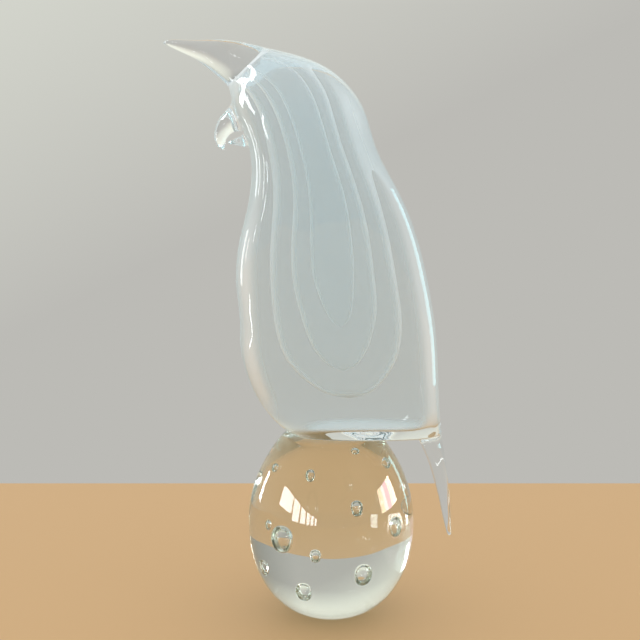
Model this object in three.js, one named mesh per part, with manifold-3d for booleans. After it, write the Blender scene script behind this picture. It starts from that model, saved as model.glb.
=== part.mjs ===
// A bird with a long crest, worked hot from solid glass, standing on a ball of clear glass.
// Millimetres, +Z up. The origin is the middle of the flat that is ground under the ball.
// The bird looks along -X. Its left and right sides mirror each other in the plane Y = 0.

import * as THREE from 'three';
import { mergeVertices } from 'three/addons/utils/BufferGeometryUtils.js';
import Module from 'manifold-3d';

const wasm = await Module();
wasm.setup();

// Clearance between two pieces of glass that lie against each other
const gap = 0.3;

// Ball: a round gather with a flat foot and a flat top, a little taller than wide
const ballRadius = 50;
const waistHeight = 60;
const footRadius = 16;
const topRadius = 28;
const ballHeight = 110.5;
const lowerCurve = 2.35;
const upperCurve = 1.75;
// Clear glass gathered over the pricked core of the ball
const ballWall = 11;

// Bubbles between the core of the ball and the glass over it, as one side of the ball shows them:
// [share of the ball's height, angle round the ball from the middle of that side, width, length]
const frontBubbles = [
  [0.92, 34, 4.8, 3.8],
  [0.82, -22, 5.4, 7.4],
  [0.81, -70, 4.6, 5],
  [0.83, 72, 6, 6.4],
  [0.67, 21, 7, 9],
  [0.55, -57, 4, 5.4],
  [0.54, 58, 8.5, 11],
  [0.5, -42, 13, 15],
  [0.44, -13, 6.2, 7.4],
  [0.33, 27, 10, 12.6],
  [0.31, -71, 7, 9],
  [0.235, -27, 9, 11],
];
// Past this angle a bubble has a like one on the far side of the ball
const sideAngle = 40;

// Bit of hot glass that joins the bird to the ball, drawn in at the middle of its height
const padHeight = 1.5;
const padRadius = 15;
const padWaist = 14.4;
const padOffset = 7.4;

// Sections of the bird, from its underside to its crown, with heights above that underside:
// [front x, front height, back x, back height, half thickness]
const bodySections = [
  [-25, 0, 66, 0, 30.6],
  [-29.2, 3.5, 65.6, 3.5, 32.2],
  [-34.5, 9, 64.8, 8, 32.9],
  [-45, 24.5, 62.8, 22, 33.6],
  [-52, 45, 61.6, 43, 34.4],
  [-53.2, 57, 60.8, 57, 34.9],
  [-52.2, 71, 59, 71, 35.5],
  [-55.4, 92, 55.3, 90, 36.4],
  [-53.2, 112, 50.3, 111, 37.2],
  [-47.8, 132, 43.2, 132, 37.8],
  [-44.8, 150, 33.6, 150, 38],
  [-45.6, 162, 25.6, 163.5, 37.6],
  [-48, 173.5, 21.8, 176, 36],
  [-53.6, 184, 18.2, 189.5, 33],
  [-57.4, 193, 9.9, 203, 28],
  [-58.4, 198.5, -6.5, 215.5, 21],
  [-59.5, 202.7, -32, 222.3, 12],
];
// Power of a section's outline: 2 makes an ellipse, and a higher one flattens its sides and its ends.
// The bird's sides were pressed flat while it was soft, and its underside was left rounder.
const ellipsePower = 2;
const footPower = 2.6;
const bodyPower = 6;
// Shares of the way up the bird, one at which its sides are fully flat and one at which they begin to
// round off to the crown's ellipse
const pressedShare = 0.2;
const flatShare = 0.8;

// Sections of the crest, from its root at the crown to its tip: [lower rail, upper rail, half thickness]
const crestSections = [
  [-63.2, 205.6, -42.4, 224.6, 11.2],
  [-67.6, 209.4, -54, 227.6, 9.8],
  [-72, 213.1, -63.5, 228.3, 8.2],
  [-77.2, 216.8, -72, 227.9, 6.5],
  [-83, 219.6, -80.5, 227.6, 4.9],
  [-89, 222.3, -88.3, 228.3, 3.4],
  [-93.8, 224.6, -93.8, 228.1, 1.9],
];
const crestTip = [-97, 226.3];

// Sections of the hooked upper beak, from inside the face to its tip: [inner rail, outer rail, half thickness]
const upperBeakSections = [
  [-45, 176, -54, 195, 7],
  [-52.6, 177, -59.8, 189.8, 6.8],
  [-56.6, 175.8, -63.6, 185.4, 6.4],
  [-59.4, 174.2, -66.7, 180.4, 5.5],
  [-61, 172, -68, 175, 4.4],
  [-61.6, 169.4, -67.6, 170.6, 3.2],
  [-61.7, 167.4, -65.8, 167.4, 2],
];
const upperBeakTip = [-63.3, 165.9];

// Sections of the lower beak: [under rail, upper rail, half thickness]
const lowerBeakSections = [
  [-41, 168, -43.5, 175, 6],
  [-46.6, 167.9, -50.3, 174.5, 5.6],
  [-50.6, 167.5, -54, 173.1, 4.8],
  [-55, 168.3, -57.2, 171.7, 3.4],
];
const lowerBeakTip = [-60, 169.7];

// Sections of the drawn tail, from its melted tip up to its root: [front x, height, back x, height, half thickness]
const tailTip = [71.3, -65.6];
const tailSections = [
  [69.5, -63.4, 73.1, -63.6, 1.9],
  [69, -60.6, 72.5, -60.6, 1.8],
  [66.9, -55, 72.4, -54.6, 3.2],
  [64.4, -43.5, 71.8, -43, 5.2],
  [61, -32, 70.8, -31.5, 7.6],
  [57, -20, 69.6, -19.5, 10.4],
  [53.4, -12.5, 68.5, -12.8, 12.4],
  [50.2, -6.5, 67.2, -6.4, 13.8],
  [46.5, 0, 66, 0, 15],
];

// Milky gathers inside the bird, from the outermost to the first one on the iron. A share is the
// gather's width over the bird's width there, power the flatness of its sides, foot its lowest point
// above the bird's underside, and rounding the height in which its lower end reaches full width.
const gathers = [
  { name: 'outer_milky_gather', share: 0.88, power: 5, foot: 4, rounding: 11, colour: 0xb9c4c1 },
  { name: 'middle_milky_gather', share: 0.65, power: 4, foot: 22, rounding: 44, colour: 0xb7c2c0 },
  { name: 'inner_milky_gather', share: 0.44, power: 3, foot: 38, rounding: 56, colour: 0xb5c0be },
  { name: 'core_gather', share: 0.24, power: 2.5, foot: 64, rounding: 50, colour: 0xb2bdbb },
];
// The gathers lie this share of the bird's width behind its middle
const gatherLean = 0.015;

// Fineness of the facets
const bodySides = 28;
const bodyRows = 27;
const gatherSides = 20;
const gatherRows = 11;
const endRows = 4;
const hornSides = 16;
const hornRows = 11;
const ballSides = 30;
const ballRows = 13;
const padSides = 30;
const bubbleSides = 8;
const bubbleRows = 5;
// How far a cutting shape runs past the face that it opens
const overcut = 2;

const underside = ballHeight + padHeight;

// Closed skin round a pile of rings. An end that is one point is a pole, any other end is capped flat.
function skin(rings) {
  const points = [];
  const starts = rings.map((ring) => {
    points.push(...ring);
    return points.length - ring.length;
  });
  const sides = Math.max(...rings.map((ring) => ring.length));
  const at = (row, side) => starts[row] + (side % sides) % rings[row].length;
  const faces = [];
  for (let row = 0; row < rings.length - 1; row += 1) {
    for (let side = 0; side < sides; side += 1) {
      if (rings[row].length > 1) faces.push(at(row, side), at(row, side + 1), at(row + 1, side + 1));
      if (rings[row + 1].length > 1) faces.push(at(row, side), at(row + 1, side + 1), at(row + 1, side));
    }
  }
  for (const [row, step] of [[0, -1], [rings.length - 1, 1]]) {
    if (rings[row].length === 1) continue;
    const hub = points.length;
    points.push(middleOf(rings[row]));
    for (let side = 0; side < sides; side += 1) {
      const ends = [at(row, side), at(row, side + 1)];
      if (step < 0) ends.reverse();
      faces.push(hub, ...ends);
    }
  }
  const geometry = new THREE.BufferGeometry().setFromPoints(points);
  geometry.setIndex(faces);
  return geometry;
}

function middleOf(points) {
  const sum = points.reduce((total, point) => total.add(point), new THREE.Vector3());
  return sum.divideScalar(points.length);
}

// One upright section between two points of the side view, made larger all round by grow
function ring({ from, to, half, power = ellipsePower }, sides, grow = 0) {
  const middle = from.clone().lerp(to, 0.5);
  const along = to.clone().sub(from);
  const reach = along.length() / 2 + grow;
  along.normalize();
  return Array.from({ length: sides }, (_, side) => {
    const angle = (side / sides) * Math.PI * 2;
    const [cosine, sine] = [Math.cos(angle), Math.sin(angle)];
    const radius = (Math.abs(cosine) ** power + Math.abs(sine) ** power) ** (-1 / power);
    const point = middle.clone().addScaledVector(along, reach * radius * cosine);
    return point.setY((half + grow) * radius * sine);
  });
}

// Smooth run through a list of sections, read at any place from 0 at the first to 1 at the last
function run(sections) {
  const fromRail = sections.map(([x, z]) => new THREE.Vector3(x, 0, underside + z));
  const toRail = sections.map(([, , x, z, half]) => new THREE.Vector3(x, half, underside + z));
  const fromCurve = new THREE.CatmullRomCurve3(fromRail, false, 'catmullrom');
  const toCurve = new THREE.CatmullRomCurve3(toRail, false, 'catmullrom');
  return (place) => {
    const from = fromCurve.getPoint(place);
    const to = toCurve.getPoint(place);
    const half = to.y;
    return { from, to: to.setY(0), half };
  };
}

function spread(count) {
  return Array.from({ length: count + 1 }, (_, step) => step / count);
}

function pole([x, z]) {
  return [new THREE.Vector3(x, 0, underside + z)];
}

// Solid from a geometry, and the geometry of a solid
function solid(geometry) {
  geometry.deleteAttribute('normal');
  geometry.deleteAttribute('uv');
  const merged = mergeVertices(geometry, 1e-4);
  return new wasm.Manifold(new wasm.Mesh({
    numProp: 3,
    vertProperties: new Float32Array(merged.attributes.position.array),
    triVerts: new Uint32Array(merged.index.array),
  }));
}

function geometryOf(shape) {
  const mesh = shape.getMesh();
  const geometry = new THREE.BufferGeometry();
  geometry.setAttribute('position', new THREE.BufferAttribute(mesh.vertProperties, 3));
  geometry.setIndex(new THREE.BufferAttribute(mesh.triVerts, 1));
  geometry.computeVertexNormals();
  return geometry;
}

// Bird: the run of its body, and the crown on which the crest is seated
const bodyRun = run(bodySections);

function body(place) {
  const nearFoot = Math.max(0, 1 - place / pressedShare);
  const nearCrown = Math.max(0, (place - flatShare) / (1 - flatShare));
  const sides = THREE.MathUtils.lerp(1 / bodyPower, 1 / footPower, nearFoot);
  return { ...bodyRun(place), power: 1 / THREE.MathUtils.lerp(sides, 1 / ellipsePower, nearCrown) };
}

const crown = body(1);
const crownNormal = crown.to.clone().sub(crown.from).cross(new THREE.Vector3(0, 1, 0)).normalize();

function liftedCrown(lift) {
  const offset = crownNormal.clone().multiplyScalar(lift);
  return { ...crown, from: crown.from.clone().add(offset), to: crown.to.clone().add(offset) };
}

function bodySolid(grow = 0) {
  const rings = spread(bodyRows).map((place) => ring(body(place), bodySides, grow));
  return solid(skin(rings));
}

// Place on the body's run where the middle of the section is at a height above the underside
function placeAt(height) {
  let low = 0;
  let high = 1;
  for (let turn = 0; turn < 30; turn += 1) {
    const place = (low + high) / 2;
    const { from, to } = body(place);
    if ((from.z + to.z) / 2 - underside < height) low = place;
    else high = place;
  }
  return (low + high) / 2;
}

// A gather's section: the body's section drawn in to a share of its width, with sides no flatter
function drawnIn(section, share, flattest) {
  const middle = section.from.clone().lerp(section.to, 0.5 + gatherLean);
  const from = middle.clone().lerp(section.from, share);
  const to = middle.clone().lerp(section.to, share);
  return { from, to, half: section.half * share, power: Math.min(section.power, flattest) };
}

// Gather with a rounded lower end. It ends at the crown, or runs past it as a cutter.
function gatherSolid({ share, power, foot, rounding }, grow = 0, past = 0) {
  const rings = [];
  const centre = foot + rounding;
  for (const step of spread(endRows).slice(1)) {
    const angle = (step * Math.PI) / 2;
    const section = drawnIn(body(placeAt(centre - (rounding + grow) * Math.cos(angle))), share, power);
    const middle = section.from.clone().lerp(section.to, 0.5);
    section.from.lerp(middle, 1 - Math.sin(angle));
    section.to.lerp(middle, 1 - Math.sin(angle));
    section.half *= Math.sin(angle);
    rings.push(ring(section, gatherSides, grow * Math.sin(angle)));
  }
  const bottom = drawnIn(body(placeAt(foot)), share, power);
  const footPoint = bottom.from.clone().lerp(bottom.to, 0.5);
  rings.unshift([footPoint.setZ(underside + foot - grow)]);
  const start = placeAt(centre);
  for (const step of spread(gatherRows).slice(1)) {
    rings.push(ring(drawnIn(body(start + (1 - start) * step), share, power), gatherSides, grow));
  }
  if (past > 0) rings.push(ring(drawnIn(liftedCrown(past), share, power), gatherSides, grow));
  return solid(skin(rings));
}

// Each layer of the bird is a cup round the next one in, open at the crown
function cup(outer, inner) {
  return outer.subtract(gatherSolid(inner, gap, overcut));
}

// Horn from a first ring, through its sections, to a point
function horn(first, sections, tip) {
  const smooth = run(sections);
  const rings = spread(hornRows).map((place) => ring(smooth(place), hornSides));
  return solid(skin([...first, ...rings, pole(tip)]));
}

// Ball: heights from the waist at which the lower and the upper curve would close on the axis
const lowerReach = waistHeight / (1 - (footRadius / ballRadius) ** lowerCurve) ** (1 / lowerCurve);
const upperPart = (1 - (topRadius / ballRadius) ** upperCurve) ** (1 / upperCurve);
const upperReach = (ballHeight - waistHeight) / upperPart;

// Radius at a height of a skin that lies inset below the outer one
function radiusAt(height, inset) {
  const lower = height < waistHeight;
  const curve = lower ? lowerCurve : upperCurve;
  const reach = (lower ? lowerReach : upperReach) - inset;
  const part = Math.max(0, 1 - (Math.abs(height - waistHeight) / reach) ** curve);
  return (ballRadius - inset) * part ** (1 / curve);
}

function ballSolid(inset, top = ballHeight) {
  const foot = Math.max(0, waistHeight - (lowerReach - inset));
  const outline = [new THREE.Vector2(0, foot)];
  for (const step of spread(ballRows)) {
    const height = foot + (ballHeight - foot) * (0.5 - Math.cos(step * Math.PI) / 2);
    const radius = radiusAt(height, inset);
    if (radius > 0) outline.push(new THREE.Vector2(radius, height));
  }
  if (top > ballHeight) outline.push(new THREE.Vector2(radiusAt(ballHeight, inset), top));
  outline.push(new THREE.Vector2(0, top));
  return solid(new THREE.LatheGeometry(outline, ballSides).rotateX(Math.PI / 2));
}

function bubble([share, angle, width, length]) {
  const height = ballHeight * share;
  const radius = radiusAt(height, ballWall);
  const radians = THREE.MathUtils.degToRad(angle);
  const geometry = new THREE.SphereGeometry(1, bubbleSides, bubbleRows);
  geometry.rotateX(Math.PI / 2).scale(width / 2, width / 2, length / 2);
  geometry.translate(radius * Math.sin(radians), -radius * Math.cos(radians), height);
  return solid(geometry);
}

const farBubbles = frontBubbles
  .filter(([, angle]) => Math.abs(angle) > sideAngle)
  .map(([share, angle, ...size]) => [share, angle - Math.sign(angle) * 180, ...size]);
const bubbles = [...frontBubbles, ...farBubbles].map(bubble);

function pricked(shape) {
  return bubbles.reduce((rest, hollow) => rest.subtract(hollow), shape);
}

function padGeometry() {
  const outline = [
    new THREE.Vector2(0, ballHeight),
    new THREE.Vector2(padRadius, ballHeight),
    new THREE.Vector2(padWaist, ballHeight + padHeight / 2),
    new THREE.Vector2(padRadius, underside),
    new THREE.Vector2(0, underside),
  ];
  return new THREE.LatheGeometry(outline, padSides).rotateX(Math.PI / 2).translate(padOffset, 0, 0);
}

const clear = { color: 0xc6d6d3, roughness: 0.03, metalness: 0 };
const milky = (color) => ({ color, roughness: 0.06, metalness: 0 });

const figurine = new THREE.Group();

function place(name, shape, look) {
  const mesh = new THREE.Mesh(geometryOf(shape), new THREE.MeshStandardMaterial(look));
  mesh.name = name;
  figurine.add(mesh);
}

// Ball and the bit that joins the bird to it
place('ball_casing', pricked(ballSolid(0).subtract(ballSolid(ballWall - gap, ballHeight + overcut))), clear);
place('ball_core', pricked(ballSolid(ballWall)), clear);
place('join_pad', solid(padGeometry()), clear);

// Bird, from the clear glass inwards
place('bird_casing', cup(bodySolid(), gathers[0]), clear);
gathers.forEach((gather, index) => {
  const whole = gatherSolid(gather);
  const next = gathers[index + 1];
  place(gather.name, next ? cup(whole, next) : whole, milky(gather.colour));
});

// Crest on the crown, beaks on the face and tail under the back
const crestRoot = [ring(liftedCrown(gap), hornSides)];
place('crest', horn(crestRoot, crestSections, crestTip), clear);
const face = bodySolid(gap);
place('upper_beak', horn([], upperBeakSections, upperBeakTip).subtract(face), clear);
place('lower_beak', horn([], lowerBeakSections, lowerBeakTip).subtract(face), clear);
const tail = run(tailSections);
const tailRings = spread(hornRows).map((step) => ring(tail(step), hornSides));
place('tail', solid(skin([pole(tailTip), ...tailRings])), clear);

export default figurine;
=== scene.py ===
# %% [markdown]
# # A bird of clear and milky glass on a bubbled ball
# The real thing is one heavy ornament of solid glass, worked hot by hand. Milky gathers lie one inside
# the other in the bird, clear glass covers them, and the crest, the beaks and the tail are drawn out of
# that clear glass. The ball under it is clear glass with air trapped in it.
# Glass shows what is behind it and around it, bent. So this lesson spends its care on clean, closed
# skins that light can pass through, and on a quiet room for the glass to show.

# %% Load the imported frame
import math
from collections import namedtuple

import bpy
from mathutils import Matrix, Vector


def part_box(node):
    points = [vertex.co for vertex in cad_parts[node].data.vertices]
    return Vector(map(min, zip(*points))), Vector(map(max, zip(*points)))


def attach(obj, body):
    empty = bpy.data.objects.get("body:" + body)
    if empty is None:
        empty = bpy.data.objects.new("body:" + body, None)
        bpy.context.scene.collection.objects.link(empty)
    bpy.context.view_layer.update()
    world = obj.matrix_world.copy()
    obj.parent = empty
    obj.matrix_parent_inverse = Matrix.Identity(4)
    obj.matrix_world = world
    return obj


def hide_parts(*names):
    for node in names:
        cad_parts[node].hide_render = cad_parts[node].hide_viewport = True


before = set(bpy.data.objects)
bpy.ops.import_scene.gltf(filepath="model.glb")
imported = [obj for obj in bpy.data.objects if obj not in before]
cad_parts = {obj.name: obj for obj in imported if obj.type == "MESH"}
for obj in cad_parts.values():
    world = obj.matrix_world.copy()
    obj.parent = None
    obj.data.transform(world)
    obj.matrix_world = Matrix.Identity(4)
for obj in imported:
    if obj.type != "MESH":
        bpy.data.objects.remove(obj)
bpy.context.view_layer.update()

MM = 0.001
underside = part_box("bird_casing")[0].z

# %% [markdown]
# ## Camera
# The photograph was taken from about two thirds of a metre away, at the height of the bird's breast and
# looking a little down. A lens can be given in millimetres of film, and a longer one would flatten the
# bird. The camera is made first, because all that follows is judged through it.

# %% Camera
camera_distance = 645 * MM
camera_height = 261 * MM
camera_side = -6.7 * MM
camera_pitch = 7.3
# Millimetres, as on the lens and the film
film_width = 36
focal_length = 61.9

camera_data = bpy.data.cameras.new("camera")
camera_data.sensor_width = film_width
camera_data.lens = focal_length
camera = bpy.data.objects.new("camera", camera_data)
camera.location = (camera_side, -camera_distance, camera_height)
camera.rotation_euler = (math.radians(90 - camera_pitch), 0, 0)
bpy.context.scene.collection.objects.link(camera)
bpy.context.scene.camera = camera
print("camera with a", focal_length, "mm lens looks down by", camera_pitch, "degrees")

# %% [markdown]
# ## Sections measured on the frame
# The CAD solids hold the true sizes. A section is what a saw would cut: a plane across the bird meets
# the solid in a closed outline, and that outline is known by its middle, its tilt, its reach and its half
# thickness. It is also known by how flat its sides are: 0 is an ellipse, and 1 is the outline of the
# bird's pressed sides. Reading all this from the frame keeps the glass where the frame is.

# %% Measure a section
Section = namedtuple("Section", "middle tilt reach half flat")
# How far out the corners of a fully pressed section lie on the solids, where an ellipse's lie at 1
PRESSED_CORNER = 1.232


def section(start, end, half, flat=0.0):
    """A section from its two ends in the side view, its half thickness and its flatness."""
    chord = end - start
    return Section((start + end) / 2, math.atan2(chord.z, chord.x), chord.length / 2, half, flat)


def cut(node, point, degrees, ahead_only=False):
    """Where a plane through point, tilted by degrees, cuts a CAD node's skin."""
    tilt = math.radians(degrees)
    along = Vector((math.cos(tilt), 0, math.sin(tilt)))
    normal = Vector((-along.z, 0, along.x))
    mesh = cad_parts[node].data
    found = []
    for edge in mesh.edges:
        first, second = (mesh.vertices[index].co for index in edge.vertices)
        before, after = (first - point).dot(normal), (second - point).dot(normal)
        if before * after < 0:
            found.append(first.lerp(second, before / (before - after)))
    if ahead_only:
        found = [spot for spot in found if (spot - point).dot(along) > 0]
    places = [(spot - point).dot(along) for spot in found]
    start, end = min(places), max(places)
    half = max(abs(spot.y) for spot in found)
    centre, reach = (start + end) / 2, (end - start) / 2
    corner = max(math.hypot((place - centre) / reach, spot.y / half) for place, spot in zip(places, found))
    flat = min(1.0, max(0.0, (corner - 1) / (PRESSED_CORNER - 1)))
    return section(point + along * start, point + along * end, half, flat)


def side_point(x, z):
    """A point of the side view, from millimetres."""
    return Vector((x, 0, z)) * MM


widest = cut("bird_casing", side_point(0, 170), 0)
print("the bird at its belly is", round(2 * widest.reach / MM, 1), "mm from front to back, and its sides",
      "are", round(100 * widest.flat), "percent flat")

# %% [markdown]
# ## Drawing a skin from ring to ring
# A glassblower draws a shape out. Here a ring of edges is extruded and then moved, stretched and turned
# to the next section. The alternative, a remeshed union of the solids, would leave small ripples, and
# ripples show at once in clear glass. A coarse cage under a Subdivision Surface modifier has none.
# A smoothed cage shrinks a little, so each ring is drawn wider by the share that it will lose, and the
# corners of a pressed ring are set further out, so that its smoothed sides come out flat.


# %% Rings and how they are drawn on
def swell(sides):
    """How much wider a round ring of so many sides is drawn, to keep its size when it is smoothed."""
    return 6 / (4 + 2 * math.cos(2 * math.pi / sides))


# For a pressed outline, how far out the cage's corners are set, by steps from a ring's axis to its diagonal
PRESSED_RINGS = {
    16: [0.9984, 1.0858, 1.3883],
    24: [1.0008, 1.0337, 1.1603, 1.3295],
}


def corner_shares(sides, flat):
    """How far out each step of a ring's corners lies, for a flatness between 0 and 1."""
    round_share = swell(sides)
    pressed = PRESSED_RINGS.get(sides, [round_share] * (sides // 8 + 1))
    return [round_share + (share - round_share) * flat for share in pressed]


def select_nothing():
    """An operator acts on all that is selected, so each piece starts from nothing."""
    if bpy.context.object and bpy.context.object.mode != "OBJECT":
        bpy.ops.object.mode_set(mode="OBJECT")
    bpy.ops.object.select_all(action="DESELECT")


def pick(thing, indices):
    """Selects the vertices with these indices, and nothing else."""
    bpy.ops.mesh.select_all(action="DESELECT")
    bpy.ops.mesh.select_mode(type="VERT")
    bpy.ops.object.mode_set(mode="OBJECT")
    for index in indices:
        thing.data.vertices[index].select = True
    bpy.ops.object.mode_set(mode="EDIT")


def selected_vertices(thing):
    """The indices and places of the selected vertices. It leaves edit mode for a moment to read them."""
    bpy.ops.object.mode_set(mode="OBJECT")
    found = {vertex.index: vertex.co.copy() for vertex in thing.data.vertices if vertex.select}
    bpy.ops.object.mode_set(mode="EDIT")
    return found


def move_corners(where, sides, before, after):
    """Moves the selected ring's corners from their old shares to new ones."""
    if before == after:
        return
    thing = bpy.context.object
    along = Vector((math.cos(where.tilt), 0, math.sin(where.tilt)))
    ring = selected_vertices(thing)
    steps = {}
    for index, place in ring.items():
        across = abs(place.y / where.half)
        beside = abs((place - where.middle).dot(along) / where.reach)
        turn = round(math.atan2(across, beside) / (2 * math.pi / sides))
        steps[index] = min(turn, sides // 4 - turn)
    for step, (old, new) in enumerate(zip(before, after)):
        if abs(new / old - 1) > 1e-5:
            pick(thing, [index for index in steps if steps[index] == step])
            bpy.ops.transform.resize(value=(new / old,) * 3, center_override=where.middle)
    pick(thing, steps)


def add_ring(where, sides):
    """Adds a ring of edges at a section. In object mode it starts a new mesh."""
    bpy.ops.mesh.primitive_circle_add(vertices=sides, radius=1, fill_type="NOTHING", enter_editmode=True)
    share = swell(sides)
    bpy.ops.transform.resize(value=(where.reach * share, where.half * share, 1), center_override=(0, 0, 0))
    bpy.ops.transform.rotate(value=where.tilt, orient_axis="Y", center_override=(0, 0, 0))
    bpy.ops.transform.translate(value=where.middle)
    move_corners(where, sides, corner_shares(sides, 0.0), corner_shares(sides, where.flat))


def reshape(here, there):
    """Turns, stretches and moves what is selected from one section to another."""
    bpy.ops.transform.rotate(value=-here.tilt, orient_axis="Y", center_override=here.middle)
    stretch = (there.reach / here.reach, there.half / here.half, 1)
    bpy.ops.transform.resize(value=stretch, center_override=here.middle)
    bpy.ops.transform.rotate(value=there.tilt, orient_axis="Y", center_override=here.middle)
    bpy.ops.transform.translate(value=there.middle - here.middle)


def draw_on(sections, sides):
    """Extrudes the selected ring, which is at the first section, through the rest of them."""
    for here, there in zip(sections, sections[1:]):
        bpy.ops.mesh.extrude_region_move()
        reshape(here, there)
        move_corners(there, sides, corner_shares(sides, here.flat), corner_shares(sides, there.flat))


def draw_to_point(last, tip):
    """Draws the selected ring to a tip and merges it there, so that the skin is closed."""
    bpy.ops.mesh.extrude_region_move()
    bpy.ops.transform.translate(value=tip - last.middle)
    bpy.ops.mesh.merge(type="CENTER")


def finish_skin(name, levels):
    """Turns the faces outwards, smooths the skin and names the piece."""
    bpy.ops.mesh.select_all(action="SELECT")
    bpy.ops.mesh.normals_make_consistent(inside=False)
    bpy.ops.object.mode_set(mode="OBJECT")
    skin = bpy.context.object
    skin.name = name
    smoothing = skin.modifiers.new("smooth", "SUBSURF")
    smoothing.levels = levels
    smoothing.render_levels = levels
    bpy.ops.object.modifier_apply(modifier=smoothing.name)
    bpy.ops.object.shade_smooth()
    print(name, "has", len(skin.data.polygons), "faces")
    return skin


BODY_SIDES = 24
print("a pressed ring's corners are set out by", corner_shares(BODY_SIDES, 1.0))

# %% [markdown]
# ## The bird's clear glass: breast, back, head and crest
# The clear glass is one piece with all that was drawn out of it, because hot glass melts together with
# no seam. The saw cuts lie level up to the neck. In the head they fan out towards the crown, and from
# there they follow the crest to its point.

# %% Saw cuts through the body and the crest
face_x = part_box("bird_casing")[0].x
# Height of each cut on the face's line, mm above the ball's foot, and its tilt in degrees
body_cuts = [
    (113.2, 0), (116.5, 0), (122, 0), (130, 0), (141, 0), (153, 0), (165, 0), (177, 0), (190, 0),
    (204, 0), (218, 0), (232, 0), (246, 0), (259, 0), (270, 0.5), (280, 2), (288, 3.5), (296, 5.5),
    (303.5, 9), (308.4, 16), (311.8, 25), (314, 34),
]
# Middle of each cut through the crest, mm along X, and its tilt in degrees
crest_cuts = [(-52.8, 42), (-60.8, 53), (-67.7, 61), (-74.6, 65), (-81.7, 73), (-88.6, 83), (-93.8, 90)]
crest_arch = 1.5 * MM
crest_tip_height = 338.3 * MM
# A cut exactly along the flat underside has no clear outline, so it is made a hair above and moved down
hair = 0.3 * MM

foot = cut("bird_casing", Vector((face_x, 0, underside + hair)), 0)
foot = foot._replace(middle=Vector((foot.middle.x, 0, underside)))
body = [cut("bird_casing", Vector((face_x, 0, height * MM)), tilt) for height, tilt in body_cuts]
crest_tip = Vector((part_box("crest")[0].x, 0, crest_tip_height))


def crest_line(x):
    """The crest's middle line, a little arched, at a place along X."""
    part = (x - body[-1].middle.x) / (crest_tip.x - body[-1].middle.x)
    return body[-1].middle.lerp(crest_tip, part) + Vector((0, 0, 4 * crest_arch * part * (1 - part)))


crest = [cut("crest", crest_line(x * MM), tilt)._replace(flat=0.0) for x, tilt in crest_cuts]
# Half thickness where the head runs out into the crest, mm: molten glass leaves no step there
melted_halves = [17.8, 14.4, 12.0, 10.2]
joint = [each._replace(half=half * MM) for each, half in zip(body[-2:] + crest[:2], melted_halves)]
body[-2:], crest[:2] = joint[:2], joint[2:]
print(len(body), "cuts through the body and", len(crest), "through the crest")
print("flatness from the foot up:", [round(each.flat, 2) for each in [foot] + body])

# %% Draw the body and the crest
select_nothing()
run = [foot] + body + crest
add_ring(run[0], BODY_SIDES)
bird = bpy.context.object
draw_on(run, BODY_SIDES)
draw_to_point(run[-1], crest_tip)
print("the crest's tip is at", [round(value / MM, 1) for value in crest_tip])

# %% [markdown]
# ## Underside and tail
# The underside is closed with a grid of faces. The tail was pulled down from its back edge while the
# glass was soft, so here the faces at that edge are extruded down through the tail's own sections. A
# tail that is a mesh of its own, pushed into the bird, would bend light at a wall that isn't there.


# %% Close the underside
def choose(thing, wanted, kind="FACE"):
    """Selects the faces or vertices whose place, in millimetres, passes a test."""
    bpy.ops.mesh.select_all(action="DESELECT")
    bpy.ops.mesh.select_mode(type=kind)
    bpy.ops.object.mode_set(mode="OBJECT")
    if kind == "FACE":
        for face in thing.data.polygons:
            face.select = wanted(face.center / MM)
    else:
        for vertex in thing.data.vertices:
            vertex.select = wanted(vertex.co / MM)
    bpy.ops.object.mode_set(mode="EDIT")


def on_underside(place):
    """Whether a place, in millimetres, lies on the bird's underside."""
    return place.z < underside / MM + 0.5


choose(bird, on_underside, "VERT")
bpy.ops.mesh.select_mode(type="EDGE")
bpy.ops.mesh.fill_grid(span=BODY_SIDES // 4, offset=0)
bpy.ops.object.mode_set(mode="OBJECT")
print("faces in the bird's cage:", len(bird.data.polygons))
bpy.ops.object.mode_set(mode="EDIT")

# %% Draw the tail
# Height of each saw cut through the tail, mm, and a place inside it along X
tail_heights = [109, 105, 99, 91, 81, 70, 60, 53, 48.5]
tail_x = 60
# The part of the underside that the tail was pulled from, mm: behind this place and this near the middle
root_from = 50
root_half = 15
bead_share = 0.55


def bead(last, step):
    """Ends a drawn tube in a small rounded bead, as a cooling tip does."""
    bpy.ops.mesh.extrude_region_move()
    bpy.ops.transform.resize(value=(bead_share,) * 3, center_override=last.middle)
    bpy.ops.transform.translate(value=step)


def round_off(root):
    """Turns the square end of the extruded faces into an oval: its corners go in, and its sides bulge."""
    ring = selected_vertices(bird)
    corners = [index for index, place in ring.items() if abs(place.y) > 0.8 * root.half]
    sides = [index for index, place in ring.items() if 0.3 < abs(place.y) / root.half < 0.7]
    pick(bird, corners)
    bpy.ops.transform.resize(value=(0.5, 1, 1), center_override=root.middle)
    pick(bird, sides)
    bpy.ops.transform.resize(value=(0.9, 1.15, 1), center_override=root.middle)
    pick(bird, ring)
    bpy.ops.mesh.select_mode(type="FACE")


tail = [cut("tail", side_point(tail_x, height), 0) for height in tail_heights]
choose(bird, lambda place: on_underside(place) and place.x > root_from and abs(place.y) < root_half)
print("faces at the tail's root:", bird.data.total_face_sel)
patch = selected_vertices(bird)
patch_start = min(place.x for place in patch.values())
patch_end = max(place.x for place in patch.values())
patch_half = max(place.y for place in patch.values())
here = section(Vector((patch_start, 0, underside)), Vector((patch_end, 0, underside)), patch_half)
print("the tail's root runs from", round(patch_start / MM, 1), "to", round(patch_end / MM, 1), "mm")
for there in tail:
    bpy.ops.mesh.extrude_region_move()
    reshape(here, there)
    if there is tail[0]:
        round_off(there)
    here = there
bead(here, side_point(0.3, -1.4))
print("the tail is", round(2 * tail[1].reach / MM, 1), "mm deep near its root")

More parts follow.
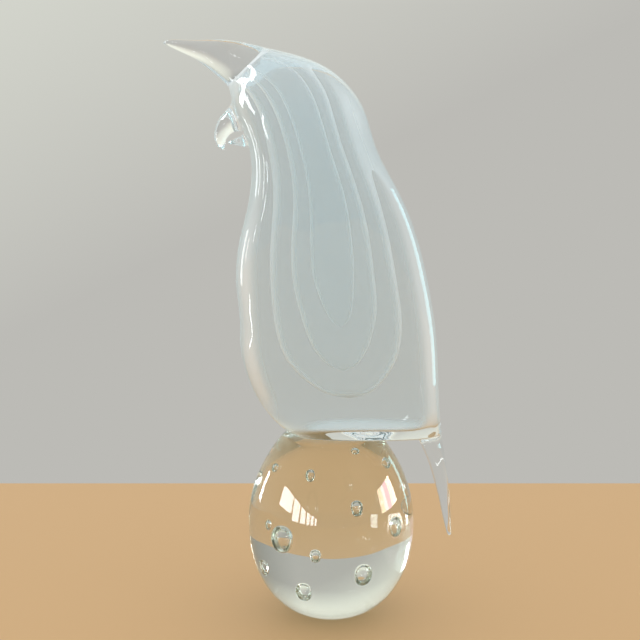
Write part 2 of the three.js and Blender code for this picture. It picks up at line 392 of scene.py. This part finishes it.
# %% [markdown]
# ## Beaks
# Two small bits of hot glass make the beak: a hook that is bent down over a short lower one. Faces are
# taken out of the bird's face, a tube is drawn for each beak, and its root is bridged to that hole. The
# hook's cuts fan out from a point in the throat, as the spokes of a wheel do.


# %% Draw the beaks
def add_drop(thing, wanted, sections, sides, step):
    """Opens the skin, draws a tube through the sections, closes its tip and bridges its root."""
    choose(thing, wanted)
    print("faces taken out:", thing.data.total_face_sel)
    bpy.ops.mesh.delete(type="FACE")
    bpy.ops.mesh.select_mode(type="VERT")
    add_ring(sections[0], sides)
    draw_on(sections, sides)
    bead(sections[-1], step)
    bpy.ops.mesh.extrude_region_move()
    bpy.ops.mesh.merge(type="CENTER")
    bpy.ops.mesh.select_all(action="DESELECT")
    bpy.ops.mesh.select_mode(type="EDGE")
    bpy.ops.mesh.select_non_manifold(use_multi_face=False, use_non_contiguous=False, use_verts=False)
    bpy.ops.mesh.bridge_edge_loops()


# The hook's cuts, by their tilt in degrees, turn round this point
hook_pivot = side_point(-51, 280)
hook_angles = [122, 131, 143, 156, 168, 178, 187]
# The lower beak's cuts, by their place along X in mm, at this height and tilt
lower_places = [-49.5, -53, -56.5, -59.3]
lower_height = 283
lower_tilt = 121

hook = [cut("upper_beak", hook_pivot, angle, ahead_only=True)._replace(flat=0.0) for angle in hook_angles]
add_drop(
    bird,
    lambda place: -62 < place.x < -46 and 289 < place.z < 303 and abs(place.y) < 6,
    hook,
    8,
    side_point(1.2, -0.8),
)
lower = [
    cut("lower_beak", side_point(x, lower_height), lower_tilt)._replace(flat=0.0) for x in lower_places
]
add_drop(
    bird,
    lambda place: -52 < place.x < -42 and 280 < place.z < 288 and abs(place.y) < 6,
    lower,
    6,
    side_point(-1.0, -0.2),
)
bird = finish_skin("bird_clear_glass", 3)

# %% [markdown]
# ## Ball
# The ball is a lathe shape: round in every level cut, with a ground foot and a low neck where the bird
# was set on it hot. The neck ends just inside the bird's own glass, so that no film of air is left
# between the two, because a film of air would shine like a mirror.

# %% Draw the ball
BALL_SIDES = 24
ball_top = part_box("ball_casing")[1].z
foot_radius = 16 * MM
neck_radius = 15 * MM
# How deep the neck reaches into the bird's glass
neck_depth = 0.4 * MM
neck_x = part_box("join_pad")[0].x / 2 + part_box("join_pad")[1].x / 2
ball_rings = 20


def disc(height, radius, x=0.0):
    """A level round section."""
    return Section(Vector((x, 0, height)), 0, radius, radius, 0.0)


ball = []
for number in range(1, ball_rings):
    height = ball_top * (0.5 - math.cos(math.pi * number / ball_rings) / 2)
    ball.append(disc(height, cut("ball_casing", Vector((0, 0, height)), 0).half))
neck = [
    disc(ball_top, 24 * MM, neck_x / 3),
    disc(ball_top, 17.5 * MM, neck_x),
    disc(underside - 0.9 * MM, neck_radius, neck_x),
    disc(underside + neck_depth, neck_radius + 0.6 * MM, neck_x),
]
run = [disc(0, foot_radius)] + ball + neck
select_nothing()
add_ring(run[0], BALL_SIDES)
ball_glass = bpy.context.object
draw_on(run, BALL_SIDES)
draw_to_point(run[-1], run[-1].middle)
# The ground foot is closed with a second, smaller ring, which keeps it flat when it is smoothed
choose(ball_glass, lambda place: place.z < 0.1, "VERT")
bpy.ops.mesh.select_mode(type="EDGE")
bpy.ops.mesh.extrude_region_move()
bpy.ops.transform.resize(value=(0.7, 0.7, 1), center_override=(0, 0, 0))
draw_to_point(disc(0, foot_radius), Vector((0, 0, 0)))
ball_glass = finish_skin("ball_glass", 2)

# %% [markdown]
# ## Bubbles
# The core of the ball was pricked with a spike, and the next gather of glass shut air in every prick.
# Such a bubble is a closed skin that faces inwards, to the air, and it belongs to the ball's own mesh.
# One bubble is modelled from a cube, made round, and drawn out a little at its lower end. Each bubble of
# the ball is a copy of it, at its own size and place between the core and the glass over it.

# %% Bubbles, as the front of the ball shows them
Bubble = namedtuple("Bubble", "share angle width length")
# Share of the ball's height, angle round the ball from the middle of its front, and size in mm
front_bubbles = [
    Bubble(0.92, 34, 4.8, 3.8),
    Bubble(0.82, -22, 5.4, 7.4),
    Bubble(0.81, -70, 4.6, 5),
    Bubble(0.83, 72, 6, 6.4),
    Bubble(0.67, 21, 7, 9),
    Bubble(0.55, -57, 4, 5.4),
    Bubble(0.54, 58, 8.5, 11),
    Bubble(0.5, -42, 13, 15),
    Bubble(0.44, -13, 6.2, 7.4),
    Bubble(0.33, 27, 10, 12.6),
    Bubble(0.31, -71, 7, 9),
    Bubble(0.235, -27, 9, 11),
]
# Past this angle a bubble has a like one on the far side
side_angle = 40
far_bubbles = [
    each._replace(angle=each.angle - math.copysign(180, each.angle))
    for each in front_bubbles
    if abs(each.angle) > side_angle
]

select_nothing()
bpy.ops.mesh.primitive_cube_add(size=1, enter_editmode=True)
bpy.ops.mesh.subdivide(number_cuts=3)
bpy.ops.transform.tosphere(value=1)
bubble = bpy.context.object
# The lower end is drawn out a little
choose(bubble, lambda place: place.z < -0.2 / MM, "VERT")
bpy.ops.transform.resize(value=(0.95, 0.95, 1.03), center_override=(0, 0, 0))
bubble = finish_skin("bubble", 2)
bpy.ops.object.mode_set(mode="EDIT")
bpy.ops.mesh.select_all(action="SELECT")
bpy.ops.mesh.flip_normals()
bpy.ops.object.mode_set(mode="OBJECT")
size = bubble.dimensions.copy()
select_nothing()
for each in front_bubbles + far_bubbles:
    height = ball_top * each.share
    radius = cut("ball_core", Vector((0, 0, height)), 0).half
    angle = math.radians(each.angle)
    # A copy with its own mesh. The join below makes its place and size part of the ball's mesh.
    copy = bpy.data.objects.new("bubble_copy", bubble.data.copy())
    copy.scale = (each.width * MM / size.x, each.width * MM / size.y, each.length * MM / size.z)
    copy.location = (radius * math.sin(angle), -radius * math.cos(angle), height)
    bpy.context.scene.collection.objects.link(copy)
    copy.select_set(True)
bpy.data.objects.remove(bubble)
ball_glass.select_set(True)
bpy.context.view_layer.objects.active = ball_glass
bpy.ops.object.join()
print("bubbles in the ball:", len(front_bubbles) + len(far_bubbles))

# %% [markdown]
# ## Milky gathers
# Each time the glassblower dipped the iron, the bird got a skin of milky glass and then clear glass over
# it. So the milk lies in thin shells, one inside the other, and each is drawn as a closed bulb.

# %% Draw the gathers
GATHER_SIDES = 16
# Share of a gather's height at each of its cuts
gather_shares = [
    0.006, 0.02, 0.045, 0.08, 0.13, 0.2, 0.28, 0.37, 0.46, 0.55, 0.64, 0.72, 0.8, 0.87, 0.93, 0.97, 0.99,
]
# How far the lowest three rings are widened towards the fourth: the outer gather was cut off flat there
cut_offs = [0.8, 0, 0, 0]


def draw_gather(name, cut_off):
    """A closed bulb through level saw cuts of a gather. Where it was cut off, its lower end is flatter."""
    low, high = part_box(name)
    run = [cut(name, Vector((0, 0, low.z + (high.z - low.z) * share)), 0) for share in gather_shares]
    full = run[3]
    for number in range(3):
        ring = run[number]
        middle = ring.middle.copy()
        middle.x += (full.middle.x - middle.x) * cut_off
        reach = ring.reach + (full.reach - ring.reach) * cut_off
        half = ring.half + (full.half - ring.half) * cut_off
        run[number] = ring._replace(middle=middle, reach=reach, half=half)
    select_nothing()
    add_ring(run[0], GATHER_SIDES)
    bpy.ops.mesh.extrude_region_move()
    bpy.ops.transform.translate(value=(0, 0, low.z - run[0].middle.z))
    bpy.ops.mesh.merge(type="CENTER")
    thing = bpy.context.object
    choose(thing, lambda place: abs(place.z - run[0].middle.z / MM) < 0.05, "VERT")
    draw_on(run, GATHER_SIDES)
    draw_to_point(run[-1], Vector((run[-1].middle.x, 0, high.z)))
    return finish_skin("milky_skin_of_" + name, 3)


gather_names = ["outer_milky_gather", "middle_milky_gather", "inner_milky_gather", "core_gather"]
gathers = [draw_gather(name, cut_off) for name, cut_off in zip(gather_names, cut_offs)]

# %% [markdown]
# ## Room
# Glass shows the room itself, so the room is part of the finish. The table is a plain floor in the tone of
# pale wood, and it ends a little behind the ball, where the photograph's table meets the wall. The wall
# and the ceiling are the world's own colour. A photograph wrapped round the scene could do this too, but
# a few plain tones are easier to judge and to change.

# %% Colours and a node helper
def linear(hex_colour):
    """An sRGB hex colour as the linear values that Blender wants."""
    parts = [int(hex_colour[start:start + 2], 16) / 255 for start in (1, 3, 5)]
    return [part / 12.92 if part < 0.04045 else ((part + 0.055) / 1.055) ** 2.4 for part in parts] + [1]


def node(owner, kind, settings=None, **inputs):
    """Adds a node. Settings go on the node, and each input goes to the socket with its name or number.

    A plain value is set on the socket. A socket is linked to it, and a node by its first output.
    """
    made = owner.node_tree.nodes.new(kind)
    for key, value in (settings or {}).items():
        setattr(made, key, value)
    for name, value in inputs.items():
        socket = made.inputs[int(name[1:])] if name[1:].isdigit() else made.inputs[name.replace("_", " ")]
        if isinstance(value, bpy.types.Node):
            value = value.outputs[0]
        if isinstance(value, bpy.types.NodeSocket):
            owner.node_tree.links.new(value, socket)
        else:
            socket.default_value = value
    return made


def new_material(name):
    """A material with no nodes yet."""
    material = bpy.data.materials.new(name)
    material.use_nodes = True
    material.node_tree.nodes.clear()
    return material


print("the wall's grey is", [round(part, 3) for part in linear("#bcbbb6")[:3]], "in linear values")

# %% Floor
table_edge = 282 * MM
table_width, table_depth = 6, 3
# The floor lies just below the ball's foot, so that the two flat faces don't fight for the same place
floor_height = -0.3 * MM
select_nothing()
bpy.ops.mesh.primitive_plane_add(size=1)
floor = bpy.context.object
floor.name = "floor"
bpy.ops.object.mode_set(mode="EDIT")
bpy.ops.transform.resize(value=(table_width, table_depth, 1), center_override=(0, 0, 0))
bpy.ops.transform.translate(value=(0, table_edge - table_depth / 2, floor_height))
bpy.ops.object.mode_set(mode="OBJECT")
# Pale wood: a warm tone that the upper half of the ball turns upside down and shows
wood = new_material("pale_wood")
surface = node(wood, "ShaderNodeBsdfPrincipled", Base_Color=linear("#d1aa78"), Roughness=0.6)
node(wood, "ShaderNodeOutputMaterial", Surface=surface)
floor.data.materials.append(wood)
print("the table ends", round(table_edge / MM), "mm behind the ball's middle")

# %% [markdown]
# The wall is lightest high up on the left, towards the window, and the ceiling is lighter still. Behind
# the camera the room is darker, so that the glass isn't washed out by what it mirrors. Dull surfaces are
# lit by plain white from all sides, because then a colour renders as it is written. So the world has two
# parts, and each kind of light ray is given its own.

# %% World
world = bpy.data.worlds.new("room")
world.use_nodes = True
world.node_tree.nodes.clear()
bpy.context.scene.world = world
direction = node(world, "ShaderNodeTexCoord")
apart = node(world, "ShaderNodeSeparateXYZ", Vector=direction.outputs["Generated"])
behind = node(world, "ShaderNodeMapRange", Value=apart.outputs["Y"], From_Min=0.25, From_Max=-0.9)
aside = node(world, "ShaderNodeMapRange", Value=apart.outputs["X"], From_Min=0.3, From_Max=1.0)
darker = node(world, "ShaderNodeMath", {"operation": "MAXIMUM"}, _0=behind, _1=aside)
slant = node(world, "ShaderNodeMath", {"operation": "MULTIPLY_ADD"}, _0=apart.outputs["X"], _1=-0.5,
             _2=apart.outputs["Z"])
lit_side = node(world, "ShaderNodeMapRange", Value=slant, From_Min=0.0, From_Max=0.5)
high_up = node(world, "ShaderNodeMapRange", Value=apart.outputs["Z"], From_Min=0.15, From_Max=0.5)
# Sockets 6 and 7 of a Mix node are its two colours, and output 2 is the blend
wall = node(world, "ShaderNodeMix", {"data_type": "RGBA"}, Factor=lit_side, _6=linear("#bcbbb6"),
            _7=linear("#e2e5da"))
wall_and_ceiling = node(world, "ShaderNodeMix", {"data_type": "RGBA"}, Factor=high_up, _6=wall.outputs[2],
                        _7=linear("#fafcee"))
whole_room = node(world, "ShaderNodeMix", {"data_type": "RGBA"}, Factor=darker,
                  _6=wall_and_ceiling.outputs[2], _7=linear("#7f8784"))
seen = node(world, "ShaderNodeBackground", Color=whole_room.outputs[2], Strength=1.0)
lighting = node(world, "ShaderNodeBackground", Color=(1, 1, 1, 1), Strength=1.0)

# A ray that has met a dull surface brings light. Any other ray shows the room.
path = node(world, "ShaderNodeLightPath")
mirrored = node(world, "ShaderNodeMath", {"operation": "MAXIMUM"}, _0=path.outputs["Is Camera Ray"],
                _1=path.outputs["Is Glossy Ray"])
looking = node(world, "ShaderNodeMath", {"operation": "MAXIMUM"}, _0=mirrored,
               _1=path.outputs["Is Transmission Ray"])
shown = node(world, "ShaderNodeMath", {"operation": "GREATER_THAN"}, _0=looking,
             _1=path.outputs["Diffuse Depth"])
both = node(world, "ShaderNodeMixShader", _0=shown, _1=lighting, _2=seen)
node(world, "ShaderNodeOutputWorld", Surface=both)
print("world nodes:", len(world.node_tree.nodes))

# %% [markdown]
# ## Window light
# What tells the eye that this is polished glass is a handful of sharp, bright reflections. The ball shows
# a barred window on the left and a low door behind it, and on the right a patch of window light that the
# glass has split into warm, blue and violet, as a prism does. The bird shows only slits of that window,
# a roof light on its forehead and a thin line of sky down its back.
# Each is an upright pane of light. A photographer would hold a pane near a piece and shade the other
# piece from it, and light linking does the same here. Its place is given by directions from the piece:
# the turn starts behind the camera and grows to the left, and the height starts at eye level.

# %% Panes of light
Pane = namedtuple("Pane", "name turn_from turn_to low high far brightness colour")
daylight = (0.93, 0.98, 1.0)
sky = (0.5, 0.93, 1.0)
# The window between its bars: turn from, turn to and lower edge, in degrees
window_gaps = [(58, 80, 8), (45.5, 56, 1), (36.5, 43.5, 1), (30, 34.5, 0), (24.5, 28.5, 0), (20, 22.5, 0)]
# Turns and heights are in degrees, and far is in metres, from the piece out to the pane's own plane
ball_panes = [
    Pane("window_gap_%d" % number, start, end, low, 21.5, 4.0, 16, daylight)
    for number, (start, end, low) in enumerate(window_gaps)
]
ball_panes += [
    Pane("door_behind", 118, 124, -2, 14, 1.6, 16, daylight),
    Pane("split_light_warm", -81, -73, 3, 19, 1.6, 12, (1.0, 0.93, 0.7)),
    Pane("split_light_blue", -87, -81, 3, 19, 1.6, 14, (0.8, 0.93, 1.0)),
    Pane("split_light_violet", -95, -87, 3, 19, 1.6, 9, (1.0, 0.72, 1.0)),
    Pane("split_light_white", -106, -95, 3, 19, 1.6, 14, (1.0, 0.96, 0.86)),
]
bird_panes = [
    Pane("window_side", 88, 102, -15, 5.7, 0.5, 7, daylight),
    Pane("window_sill", 50, 70, -22.7, -21.8, 0.5, 16, daylight),
    Pane("window_slit_near", 34.5, 36.5, 1.0, 4.4, 4.0, 16, daylight),
    Pane("window_slit_middle", 46, 48, 0.8, 3.5, 4.0, 16, daylight),
    Pane("window_slit_far", 70, 74, -2, 5, 4.0, 12, daylight),
    Pane("roof_light", 82, 104, 30, 53, 0.5, 16, daylight),
    Pane("roof_light_end", 38, 82, 50, 56.5, 0.5, 16, daylight),
    Pane("roof_light_slit", 20, 23.5, 38, 67, 0.5, 14, daylight),
    Pane("open_sky", -115, -84, -21.3, 23.7, 0.5, 4, sky),
]


def add_pane(pane, eye_height, lit):
    """An upright pane of daylight that one piece shows, and that adds no light to dull surfaces."""
    side = math.copysign(1, pane.turn_from)
    wall_x = -side * pane.far
    turns = [math.radians(turn) for turn in (pane.turn_from, pane.turn_to)]
    ends = [wall_x / math.tan(turn) for turn in turns]
    rise = [math.tan(math.radians(height)) * pane.far for height in (pane.low, pane.high)]
    light = bpy.data.lights.new(pane.name, "AREA")
    light.shape = "RECTANGLE"
    light.size = abs(ends[0] - ends[1])
    light.size_y = rise[1] - rise[0]
    light.energy = light.size * light.size_y * math.pi * pane.brightness
    light.color = pane.colour
    holder = bpy.data.objects.new(pane.name, light)
    holder.location = (wall_x, (ends[0] + ends[1]) / 2, eye_height + (rise[0] + rise[1]) / 2)
    holder.rotation_euler = (math.radians(90), 0, math.radians(90) * -side)
    holder.visible_diffuse = False
    holder.visible_camera = False
    holder.light_linking.receiver_collection = lit
    bpy.context.scene.collection.objects.link(holder)


# The height on each piece from which its panes' directions are given
ball_eye = 55 * MM
bird_eye = 250 * MM
for panes, eye_height, piece in ((ball_panes, ball_eye, ball_glass), (bird_panes, bird_eye, bird)):
    lit = bpy.data.collections.new("lit_" + piece.name)
    lit.objects.link(piece)
    for pane in panes:
        add_pane(pane, eye_height, lit)
    print(len(panes), "panes are shown by", piece.name)

# %% [markdown]
# ## Clear glass
# The figure is plain soda glass, fire polished: the last flame melts its skin smooth, so it has no
# roughness at all, but it keeps slow waves, at most half a millimetre high, from the tools. Those
# waves make the reflections waver, and a perfectly even skin would look like plastic. Soda glass holds a
# trace of iron, so it takes a little more red than blue from light on a long way through, and the thick
# ball is a shade deeper and greener than the bird.
# Real light bends through glass and draws bright rings on a table. A renderer needs very long to find
# them, so light for dull surfaces goes straight through here, and the ball takes a part of it away. That
# leaves the soft shadow that a ball of glass has round its foot.

# %% Soda glass
wave_length = 34 * MM
wave_height = 0.5 * MM


def make_glass(name, tint, density, shade):
    """Fire-polished soda glass. The tint is what is left of light, and shade is its share in shadows."""
    glass = new_material(name)
    coordinates = node(glass, "ShaderNodeTexCoord")
    # The tool's slow waves: they bend the reflections a little
    wave = node(glass, "ShaderNodeTexNoise", Vector=coordinates.outputs["Object"], Scale=1 / wave_length,
                Detail=1.0)
    bump = node(glass, "ShaderNodeBump", Height=wave, Strength=1.0, Distance=wave_height)
    solid = node(glass, "ShaderNodeBsdfPrincipled", Base_Color=(1, 1, 1, 1), Roughness=0.0, IOR=1.5,
                 Transmission_Weight=1.0, Normal=bump)
    straight_through = node(glass, "ShaderNodeBsdfTransparent", Color=linear(shade))
    path = node(glass, "ShaderNodeLightPath")
    dull = node(glass, "ShaderNodeMath", {"operation": "MAXIMUM"}, _0=path.outputs["Is Shadow Ray"],
                _1=path.outputs["Is Diffuse Ray"])
    both = node(glass, "ShaderNodeMixShader", _0=dull, _1=solid, _2=straight_through)
    # The iron's tint: it grows with the way through the glass
    absorb = node(glass, "ShaderNodeVolumeAbsorption", Color=linear(tint), Density=density)
    node(glass, "ShaderNodeOutputMaterial", Surface=both, Volume=absorb)
    return glass


soda_glass = make_glass("soda_glass", tint="#dceff2", density=3.0, shade="#fafbfb")
ball_soda_glass = make_glass("soda_glass_of_ball", tint="#cbdacf", density=4.0, shade="#dcdeda")
print("soda glass with waves", round(wave_length / MM), "mm apart")

# %% [markdown]
# ## Milky glass
# Milky glass owes its look to crystals far too small to see, and here it lies in skins only a millimetre or
# two thick. Face on, such a skin hides little. Edge on, the eye looks through far more of it, so each
# gather draws its own pale outline, and those outlines are what the photograph shows inside the bird. That
# outline is pale partly from the denser milk and partly from a painted sheen: edge on, the film's colour is
# painted almost white.
# So each gather is a film whose cover follows from its thickness and from the angle it is seen at:
# 1 - exp(-thickness / angle). A cloudy volume would do the same and take many times as long to render.
# The sides of the bird were pressed flat while it was hot, which pushed milk to the front and the back of
# the outer gather, and there the film is thicker. Where the head was drawn up into the crest it thins out.

# %% Milky skins
# Thickness of each film, as a share of one that would hide nearly two thirds of what is behind it
inner_film = 0.11
outer_film = 0.16
# What the pressing added at the front and the back of the outer gather
pressed_film = 0.2
# Added to the angle, so that a film seen exactly edge on doesn't count as endlessly thick
least_angle = 0.03
# Heights between which the milk thins out in the crown, and the share of it that is left at the top
crown = (290 * MM, 328 * MM)
crown_share = 0.3


def make_milk(name, thickness, edge_thickness):
    """A film of milky glass. It is bluish face on. Edge on it is denser, and its colour is painted almost
    white there as a painted sheen.
    """
    milk = new_material(name)
    edge_on = node(milk, "ShaderNodeLayerWeight", Blend=0.5).outputs["Facing"]
    face_on = node(milk, "ShaderNodeMath", {"operation": "SUBTRACT"}, _0=1.0, _1=edge_on)
    squared = node(milk, "ShaderNodeMath", {"operation": "POWER"}, _0=face_on, _1=2.0)
    angle = node(milk, "ShaderNodeMath", {"operation": "ADD"}, _0=squared, _1=least_angle)
    # Front and back ends of the gather, where the pressing left more milk
    coordinates = node(milk, "ShaderNodeTexCoord")
    normal = node(milk, "ShaderNodeSeparateXYZ", Vector=coordinates.outputs["Normal"])
    along = node(milk, "ShaderNodeMath", {"operation": "ABSOLUTE"}, _0=normal.outputs["X"])
    ends = node(milk, "ShaderNodeMath", {"operation": "POWER"}, _0=along, _1=4.0)
    film = node(milk, "ShaderNodeMath", {"operation": "MULTIPLY_ADD"}, _0=ends, _1=edge_thickness,
                _2=thickness)
    # The crown, where it was drawn out
    place = node(milk, "ShaderNodeSeparateXYZ", Vector=coordinates.outputs["Object"])
    left = node(milk, "ShaderNodeMapRange", Value=place.outputs["Z"], From_Min=crown[0], From_Max=crown[1],
                To_Min=1.0, To_Max=crown_share)
    drawn_film = node(milk, "ShaderNodeMath", {"operation": "MULTIPLY"}, _0=film, _1=left)
    # How much of what is behind it the film hides
    depth = node(milk, "ShaderNodeMath", {"operation": "DIVIDE"}, _0=drawn_film, _1=angle)
    minus_depth = node(milk, "ShaderNodeMath", {"operation": "MULTIPLY"}, _0=depth, _1=-1.0)
    clear = node(milk, "ShaderNodeMath", {"operation": "EXPONENT"}, _0=minus_depth)
    cover = node(milk, "ShaderNodeMath", {"operation": "SUBTRACT"}, _0=1.0, _1=clear)
    # Painted sheen: edge on, the colour is painted almost white. It stands in for light that the film
    # throws back at a grazing angle and is not the milk's own colour.
    painted_sheen_tone = node(milk, "ShaderNodeMix", {"data_type": "RGBA"}, Factor=edge_on, _6=linear("#d7edf6"),
                _7=linear("#fafeff"))
    surface = node(milk, "ShaderNodeBsdfPrincipled", Base_Color=painted_sheen_tone.outputs[2], Roughness=1.0,
                   Specular_IOR_Level=0.0, Alpha=cover)
    node(milk, "ShaderNodeOutputMaterial", Surface=surface)
    return milk


outer_milk = make_milk("milky_glass_of_outer_gather", outer_film, pressed_film)
inner_milk = make_milk("milky_glass", inner_film, 0.0)
hidden = 1 - math.exp(-inner_film / (1 + least_angle))
print("face on, a milky skin hides", round(100 * hidden), "percent of what is behind it")

# %% [markdown]
# ## Placing
# Each piece gets its glass, rides on the one body of the figure, and takes the place of the CAD solids
# that it was measured on. The bird's clear glass stands for five solids and the ball's for three, because
# on the real figure they melted into one.

# %% Hand the pieces over
for piece, name in zip(gathers, gather_names):
    piece.data.materials.clear()
    piece.data.materials.append(outer_milk if piece is gathers[0] else inner_milk)
    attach(piece, "root")
    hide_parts(name)
for piece, glass, slot in ((bird, soda_glass, "clear_glass"), (ball_glass, ball_soda_glass, "ball_glass")):
    piece.data.materials.clear()
    piece.data.materials.append(glass)
    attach(piece, "root")
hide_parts("bird_casing", "crest", "upper_beak", "lower_beak", "tail")
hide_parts("ball_casing", "ball_core", "join_pad")
print("pieces:", [piece.name for piece in [bird, ball_glass] + gathers])

# %% [markdown]
# ## Light paths
# A ray crosses the casing, up to eight milky skins and the far side, and it may be thrown back inside a
# bubble's wall many times. With too few bounces the bubbles would get black rims.

# %% Bounces, sizes and the end
scene = bpy.context.scene
scene.view_settings.view_transform = "Standard"
scene.cycles.max_bounces = 32
scene.cycles.diffuse_bounces = 4
scene.cycles.glossy_bounces = 24
scene.cycles.transmission_bounces = 24
scene.cycles.transparent_max_bounces = 64
